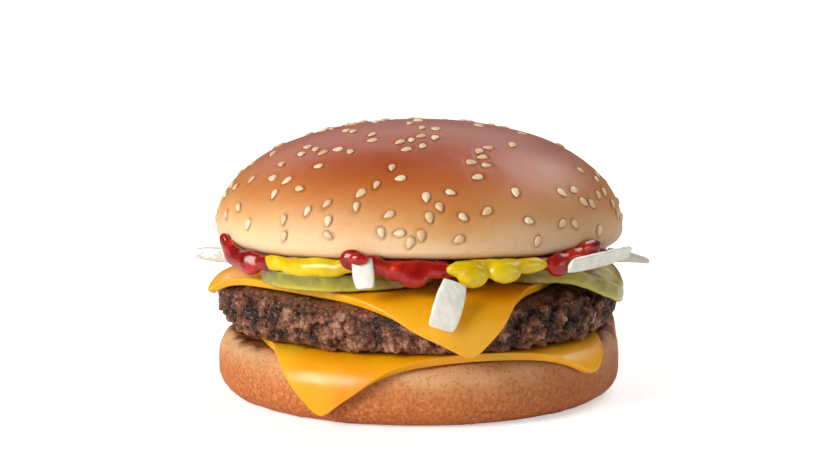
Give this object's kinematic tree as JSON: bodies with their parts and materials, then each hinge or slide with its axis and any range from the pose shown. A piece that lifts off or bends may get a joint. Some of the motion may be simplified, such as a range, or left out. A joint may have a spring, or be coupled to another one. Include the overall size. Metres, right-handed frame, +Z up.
{
  "type": "cheeseburger",
  "caption": "Cheeseburger in a domed sesame seed bun: beef patty between cheese slices, with pickle slices, onion pieces, ketchup and mustard, standing on its flat heel",
  "frame": {"origin": "on the heel's flat bottom, on the bun's axis", "axes": "+Z is up through the stack, -Y is the front that faces the viewer, +X is the viewer's right"},
  "size_m": [0.1124, 0.1091, 0.0674],
  "materials": {
    "crust": "baked bun crust with a soft egg-wash gloss and cream sesame seeds",
    "crumb": "soft bun side, finely pebbled, with a toasted cut face",
    "beef": "browned ground beef, crumbly and glistening",
    "cheese": "warm sliced cheese with a soft gloss",
    "pickle": "wet olive green pickle",
    "ketchup": "wet glossy red sauce",
    "mustard": "wet yellow sauce",
    "onion": "moist translucent white onion"
  },
  "bodies": {
    "root": {"heel": "crumb", "cheese_lower": "cheese", "patty": "beef", "cheese_upper": "cheese", "pickle_left": "pickle", "pickle_right": "pickle", "pickle_back_right": "pickle", "pickle_back_left": "pickle", "ketchup_left": "ketchup", "ketchup_front": "ketchup", "ketchup_right": "ketchup", "ketchup_back": "ketchup", "mustard_left": "mustard", "mustard_right": "mustard", "mustard_back": "mustard", "mustard_far_left": "mustard", "onion_left": "onion", "onion_front_short": "onion", "onion_front_long": "onion", "onion_right_upper": "onion", "onion_right_lower": "onion", "onion_back": "onion", "onion_back_left": "onion", "crown": "crust"}
  },
  "joints": []
}
